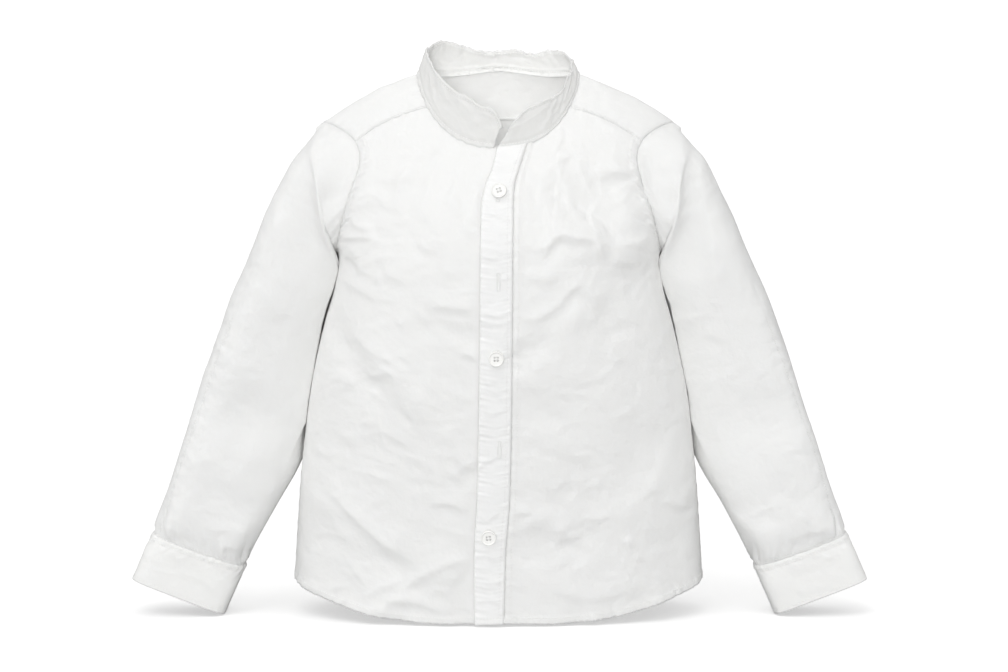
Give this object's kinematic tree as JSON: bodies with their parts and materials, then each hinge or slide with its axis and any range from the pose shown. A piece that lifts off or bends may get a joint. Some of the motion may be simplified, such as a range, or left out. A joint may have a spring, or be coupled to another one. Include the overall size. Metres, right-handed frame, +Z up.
{
  "type": "button-up shirt",
  "caption": "Crumpled long-sleeved shirt with a band collar, a buttoned front placket, cuffs and a curved hem, hollow as when worn.",
  "frame": {"origin": "between the shoulders, level with the points where neck and shoulder meet, where the wearer's shoulders bear the shirt", "axes": "+Z up, +X to the wearer's left, the front faces -Y"},
  "size_m": [0.5598, 0.1684, 0.4338],
  "materials": {
    "shirting": "fine plain-woven white cotton, washed and lightly creased",
    "banding": "the same cotton doubled over interlining, topstitched and slightly puckered",
    "button": "white resin with a soft gloss"
  },
  "bodies": {
    "root": {"front_right": "shirting", "front_left": "shirting", "button_placket": "banding", "back": "shirting", "yoke": "shirting", "collar": "banding", "sleeve_right": "shirting", "sleeve_left": "shirting", "sleeve_placket_right": "banding", "sleeve_placket_left": "banding", "cuff_right": "banding", "cuff_left": "banding", "cuff_button_right": "button", "cuff_button_left": "button", "front_button_1": "button", "front_button_2": "button", "front_button_3": "button"}
  },
  "joints": []
}
